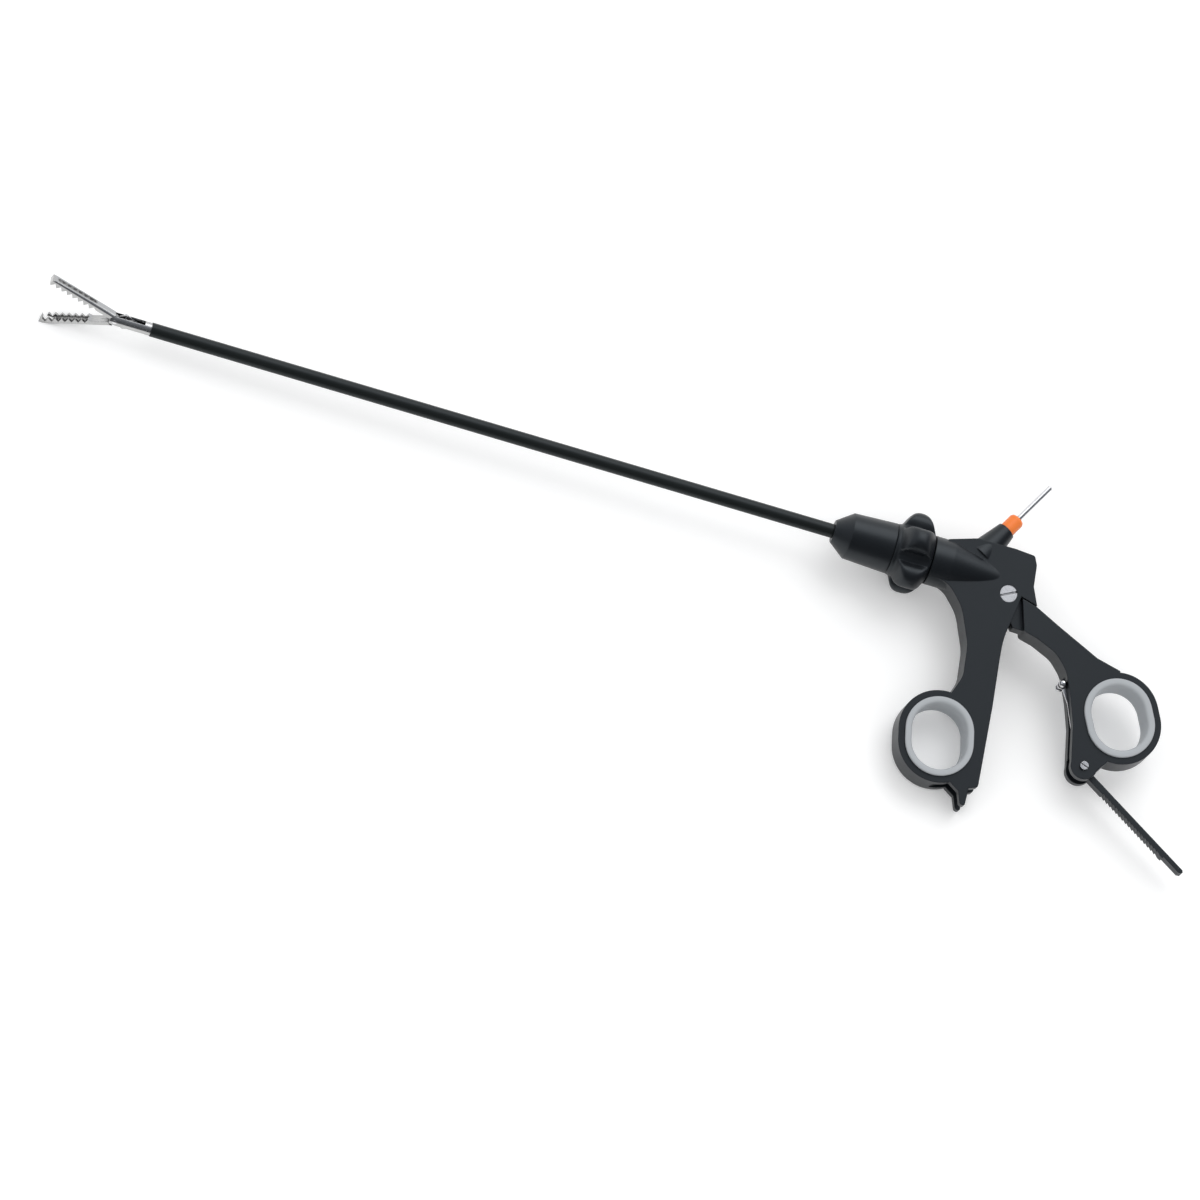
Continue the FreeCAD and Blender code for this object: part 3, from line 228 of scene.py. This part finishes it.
def moulded_plastic(name, dark, light, rough, grain_depth, grain_scale=2600, wear_and_highlight=None, shine=0.5):
    """Injection-moulded plastic: spark-eroded grain, colour drift, patchy gloss, and eased edges that
    can be lightened, partly as wear and partly as painted highlight.
    """
    material, tree, shader = new_material(name)
    where = stretched(tree, (1, 1, 1))
    patches = noise(tree, where, PLASTIC_PATCHES)
    surface, edge = soft_edges(tree, PLASTIC_EDGE, patches)
    colour = blend_colours(tree, noise(tree, where, PLASTIC_DRIFT), dark, light)
    if wear_and_highlight:
        # Edges are lightened in patches: partly wear and partly painted highlight.
        colour = blend_colours(tree, edge, colour, wear_and_highlight)
    link(tree, colour, shader.inputs["Base Color"])
    link(tree, number_ramp(tree, patches, rough[0], rough[1]), shader.inputs["Roughness"])
    grain = noise(tree, where, grain_scale, 2.0)
    link(tree, bump(tree, grain, grain_depth, surface), shader.inputs["Normal"])
    shader.inputs["Specular IOR Level"].default_value = shine
    shader.inputs["Specular Tint"].default_value = PLASTIC_TINT
    return material


def steel(name, dark, light, rough, line_depth, shade_reach):
    """Stainless steel with fine grinding lines along the shaft, eased edges lightened partly by wear
    and partly as painted highlight, and painted shade darkening its recesses.
    """
    material, tree, shader = new_material(name)
    lines = noise(tree, stretched(tree, ALONG_SHAFT), STEEL_LINES, 2.0)
    patches = noise(tree, stretched(tree, (1, 1, 1)), STEEL_PATCHES)
    surface, edge = soft_edges(tree, STEEL_EDGE, patches)
    # Edges are lightened in patches: partly wear and partly painted highlight.
    unshaded_colour = blend_colours(tree, edge, blend_colours(tree, patches, dark, light), EDGE_WEAR_AND_HIGHLIGHT_STEEL)
    # Painted shade: the colour is darkened towards near black where ambient occlusion finds a recess.
    unshaded_share = number_ramp(tree, open_to_light(tree, shade_reach), PAINTED_SHADE_DEPTH, 1.0)
    link(tree, blend_colours(tree, unshaded_share, PAINTED_SHADE_STEEL, unshaded_colour), shader.inputs["Base Color"])
    link(tree, number_ramp(tree, lines, rough[0], rough[1]), shader.inputs["Roughness"])
    link(tree, bump(tree, lines, line_depth, surface), shader.inputs["Normal"])
    shader.inputs["Metallic"].default_value = 1.0
    return material


def closed_surface(name, rows):
    """A closed mesh over rows of points in millimetres, which join up both ways."""
    across = len(rows[0])
    points = [Vector(point) * MM for row in rows for point in row]
    faces = []
    for i in range(len(rows)):
        after = (i + 1) % len(rows)
        for j in range(across):
            side = (j + 1) % across
            faces.append((i * across + j, i * across + side, after * across + side, after * across + j))
    mesh = bpy.data.meshes.new(name)
    mesh.from_pydata(points, [], faces)
    shape = bmesh.new()
    shape.from_mesh(mesh)
    bmesh.ops.recalc_face_normals(shape, faces=shape.faces)
    shape.to_mesh(mesh)
    shape.free()
    for face in mesh.polygons:
        face.use_smooth = True
    mesh.set_sharp_from_angle(angle=SHARP_ANGLE)
    piece = bpy.data.objects.new(name, mesh)
    bpy.context.collection.objects.link(piece)
    return piece


def smooth_max(first, second, blend):
    """The larger of two lengths, with a rounded valley where they meet."""
    near = max(0.0, 1 - abs(first - second) / blend)
    return max(first, second) + near * near * blend / 4


def knob_radius(x, turn):
    """The knob's outer radius at a place along the shaft and an angle round it."""
    middle = (KNOB_FRONT + KNOB_REAR) / 2
    half = (KNOB_REAR - KNOB_FRONT) / 2
    drum = KNOB_WAIST - (KNOB_WAIST - KNOB_RAD) * abs(x - middle) / half
    step = 2 * math.pi / LOBE_COUNT
    off = (turn - LOBE_TURN + step / 2) % step - step / 2
    root = LOBE_TIP - LOBE_END_RAD
    bar = root * math.cos(off) + math.sqrt(max(0.0, LOBE_END_RAD**2 - (root * math.sin(off))**2))
    along = (x - middle - LOBE_SHIFT) / LOBE_HALF_LENGTH
    crown = LOBE_TIP * math.sqrt(max(0.0, 1 - along * along))
    lobe = -smooth_max(-bar, -crown, LOBE_CREST_BLEND)
    radius = smooth_max(drum, lobe, LOBE_FOOT_BLEND)
    edge = min(1.0, max(0.0, 1 - (half - abs(x - middle)) / KNOB_EDGE))
    return radius - KNOB_EDGE * (1 - math.sqrt(1 - edge * edge))


def add_knob(finish):
    """The lobed knob with its hub, grooves and bore."""
    outer = []
    for k in range(KNOB_STEPS_ALONG + 1):
        share = (1 - math.cos(math.pi * k / KNOB_STEPS_ALONG)) / 2
        outer.append(KNOB_FRONT + (KNOB_REAR - KNOB_FRONT) * share)
    hub = [(KNOB_REAR, HUB_RAD)]
    for start, end, floor in (SEAL_GROOVE, CLIP_GROOVE):
        hub += [(start, HUB_RAD), (start, floor), (end, floor), (end, HUB_RAD)]
    hub += [(HUB_END, HUB_RAD), (HUB_END, KNOB_BORE), (KNOB_FRONT, KNOB_BORE)]
    rows = []
    for k in range(KNOB_STEPS_ROUND):
        turn = 2 * math.pi * k / KNOB_STEPS_ROUND
        row = [(x, knob_radius(x, turn)) for x in outer] + hub
        rows.append([(x, radius * math.cos(turn), radius * math.sin(turn)) for x, radius in row])
    knob = closed_surface("knob", rows)
    knob.data.materials.append(finish)
    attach(knob, "shaft")
    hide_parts("rotation_knob")


def rounded_wall(wall):
    """A ring's section: radius and height round a wall with rounded corners."""
    section = []
    sides = ((RING_OUTER, 1, RING_OUTER_EDGE), (RING_OUTER - wall, -1, RING_INNER_EDGE))
    for radius, side, edge in sides:
        upper = []
        for k in range(CORNER_STEPS + 1):
            corner = math.radians(90 / CORNER_STEPS * k)
            out = radius - side * edge * (1 - math.cos(corner))
            upper.append((out, RING_HALF_HEIGHT - edge * (1 - math.sin(corner))))
        upward = [(out, -height) for out, height in reversed(upper)] + upper
        section += upward[::side]
    return section


def add_ring(name, place, node, body, finish):
    """A soft ring insert with rounded rims."""
    (x, y), angle, wall = place
    along = Vector((math.cos(angle), math.sin(angle), 0))
    across = Vector((-math.sin(angle), math.cos(angle), 0))
    section = rounded_wall(wall)
    rows = []
    for end in (1, -1):
        centre = Vector((x, y, 0)) + along * end * RING_STRAIGHT / 2
        for k in range(RING_STEPS + 1):
            turn = math.pi * (k / RING_STEPS - 0.5)
            out = (along * math.cos(turn) + across * math.sin(turn)) * end
            rows.append([centre + out * radius + Vector((0, 0, height)) for radius, height in section])
    ring = closed_surface(name, rows)
    ring.data.materials.append(finish)
    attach(ring, body)
    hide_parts(node)


def show_background(tree, background, plain):
    """Shows background to the camera and in reflections, and plain to all other light."""
    path = tree.nodes.new("ShaderNodeLightPath")
    seen = path.outputs["Is Camera Ray"]
    for name in ("Is Glossy Ray", "Is Transmission Ray"):
        either = tree.nodes.new("ShaderNodeMath")
        either.operation = "MAXIMUM"
        link(tree, seen, either.inputs[0])
        link(tree, path.outputs[name], either.inputs[1])
        seen = either.outputs["Value"]
    mix = tree.nodes.new("ShaderNodeMixShader")
    link(tree, seen, mix.inputs["Fac"])
    link(tree, plain, mix.inputs[1])
    link(tree, background, mix.inputs[2])
    return mix.outputs["Shader"]


def add_materials():
    """Gives every node of the frame its finish."""
    black = moulded_plastic(
        "satin_black_plastic", (0.0036, 0.0046, 0.0062), (0.0056, 0.0070, 0.0092), (0.34, 0.44), 9e-6,
        wear_and_highlight=(0.016, 0.018, 0.021), shine=0.44,
    )
    coating = moulded_plastic(
        "shaft_coating", (0.006, 0.0075, 0.0072), (0.010, 0.012, 0.0115), (0.34, 0.44), 5e-6, 1800,
        shine=0.30,
    )
    ratchet = moulded_plastic(
        "ratchet_plastic", (0.008, 0.0095, 0.0115), (0.012, 0.014, 0.017), (0.38, 0.48), 8e-6,
        wear_and_highlight=(0.03, 0.032, 0.036), shine=0.36,
    )
    grey = moulded_plastic(
        "grey_soft_plastic", (0.37, 0.39, 0.41), (0.43, 0.45, 0.47), (0.42, 0.52), 6e-6,
        wear_and_highlight=(0.52, 0.54, 0.56),
    )
    orange = moulded_plastic(
        "orange_plastic", (0.86, 0.19, 0.025), (0.93, 0.23, 0.035), (0.34, 0.44), 5e-6,
        wear_and_highlight=(0.95, 0.30, 0.07),
    )
    seal = moulded_plastic(
        "seal_rubber", (0.010, 0.010, 0.010), (0.016, 0.016, 0.016), (0.55, 0.7), 6e-6,
    )
    jaw = steel("jaw_steel", (0.42, 0.42, 0.42), (0.58, 0.58, 0.575), (0.18, 0.30), 1e-6, 2.2 * MM)
    bright = steel("bright_steel", (0.66, 0.66, 0.67), (0.78, 0.78, 0.79), (0.12, 0.22), 6e-7, 0.8 * MM)
    by_slot = {
        "black_plastic": black,
        "shaft_coating": coating,
        "ratchet_plastic": ratchet,
        "grey_soft_plastic": grey,
        "orange_plastic": orange,
        "seal_rubber": seal,
        "jaw_steel": jaw,
        "polished_steel": bright,
    }
    for part in frame["record"]["subparts"]:
        mesh = frame["nodes"][part["node"]].data
        mesh.materials.clear()
        mesh.materials.append(by_slot[part["material_slot"]])
    return by_slot


def add_floor():
    """A pale floor that keeps the object's shadow, and shows as white elsewhere."""
    bpy.ops.mesh.primitive_plane_add(size=FLOOR_SIZE, location=FLOOR_POINT)
    floor = bpy.context.object
    floor.name = "floor"
    normal = Vector((-FLOOR_SLOPE[0], -FLOOR_SLOPE[1], 1)).normalized()
    floor.rotation_mode = "QUATERNION"
    floor.rotation_quaternion = normal.to_track_quat("Z", "Y")
    material, tree, shader = new_material("floor")
    shader.inputs["Base Color"].default_value = FLOOR_COLOUR
    shader.inputs["Roughness"].default_value = 0.9
    shader.inputs["Specular IOR Level"].default_value = 0.0
    glow = tree.nodes.new("ShaderNodeEmission")
    glow.inputs["Strength"].default_value = FLOOR_GLOW
    both = tree.nodes.new("ShaderNodeAddShader")
    link(tree, shader.outputs["BSDF"], both.inputs[0])
    link(tree, glow.outputs["Emission"], both.inputs[1])
    output = tree.nodes["Material Output"]
    seen = show_background(tree, both.outputs["Shader"], shader.outputs["BSDF"])
    link(tree, seen, output.inputs["Surface"])
    floor.data.materials.append(material)


def add_world():
    """Even light, and a studio for reflections: bright beyond the object's top, dark at its foot."""
    world = bpy.data.worlds.new("studio")
    world.use_nodes = True
    bpy.context.scene.world = world
    tree = world.node_tree
    plain = tree.nodes["Background"]
    plain.inputs["Color"].default_value = (1, 1, 1, 1)
    plain.inputs["Strength"].default_value = EVEN_LIGHT
    where = tree.nodes.new("ShaderNodeTexCoord")
    height = tree.nodes.new("ShaderNodeVectorMath")
    height.operation = "DOT_PRODUCT"
    link(tree, where.outputs["Generated"], height.inputs[0])
    height.inputs[1].default_value = CAMERA_UP
    share = tree.nodes.new("ShaderNodeMapRange")
    share.inputs["From Min"].default_value = -1
    link(tree, height.outputs["Value"], share.inputs["Value"])
    ramp = tree.nodes.new("ShaderNodeValToRGB")
    stops = ramp.color_ramp.elements
    stops[0].color = (*STUDIO[0][1], 1)
    stops[1].color = (*STUDIO[-1][1], 1)
    for position, colour in STUDIO[1:-1]:
        stops.new(position).color = (*colour, 1)
    link(tree, share.outputs["Result"], ramp.inputs["Fac"])
    background = tree.nodes.new("ShaderNodeBackground")
    link(tree, ramp.outputs["Color"], background.inputs["Color"])
    output = tree.nodes["World Output"]
    seen = show_background(tree, background.outputs["Background"], plain.outputs["Background"])
    link(tree, seen, output.inputs["Surface"])


def add_lamp(name, place, target, size, power):
    """A soft square lamp that shines from place to target."""
    data = bpy.data.lights.new(name, "AREA")
    data.shape = "RECTANGLE"
    data.size, data.size_y = size
    data.energy = power
    lamp = bpy.data.objects.new(name, data)
    bpy.context.collection.objects.link(lamp)
    lamp.location = place
    lamp.rotation_mode = "QUATERNION"
    lamp.rotation_quaternion = (target - place).to_track_quat("-Z", "Y")


def add_camera():
    """A long lens over the object, turned so that the shaft runs up to the left."""
    right = CAMERA_RIGHT.normalized()
    back = right.cross(CAMERA_UP).normalized()
    up = back.cross(right)
    middle = PICTURE / 2
    aside = (middle - NOSE_PIXEL[0]) / PIXELS_PER_MM * MM
    above = (NOSE_PIXEL[1] - middle) / PIXELS_PER_MM * MM
    place = right * aside + up * above + back * CAMERA_DISTANCE
    data = bpy.data.cameras.new("camera")
    data.sensor_width = SENSOR_WIDTH
    data.lens = SENSOR_WIDTH * CAMERA_DISTANCE / (PICTURE / PIXELS_PER_MM * MM)
    data.clip_start, data.clip_end = CLIP
    camera = bpy.data.objects.new("camera", data)
    bpy.context.collection.objects.link(camera)
    turn = Matrix((right, up, back)).transposed().to_4x4()
    camera.matrix_world = Matrix.Translation(place) @ turn
    bpy.context.scene.camera = camera


finishes = add_materials()
grey_finish = finishes["grey_soft_plastic"]
add_knob(finishes["black_plastic"])
add_ring("finger_ring_soft", FINGER_RING, "finger_ring_insert", "housing", grey_finish)
add_ring("thumb_ring_soft", THUMB_RING, "thumb_ring_insert", "thumb_lever", grey_finish)
add_floor()
add_world()
add_lamp("key", Vector((0.3, 1.0, 1.05)), Vector((0, 0, 0)), (1.2, 1.2), 7.5)
add_lamp("fill", Vector((-0.9, -0.3, 1.0)), Vector((-0.1, 0, 0)), (0.8, 0.8), 1)
add_camera()
bpy.context.scene.view_settings.view_transform = "Standard"
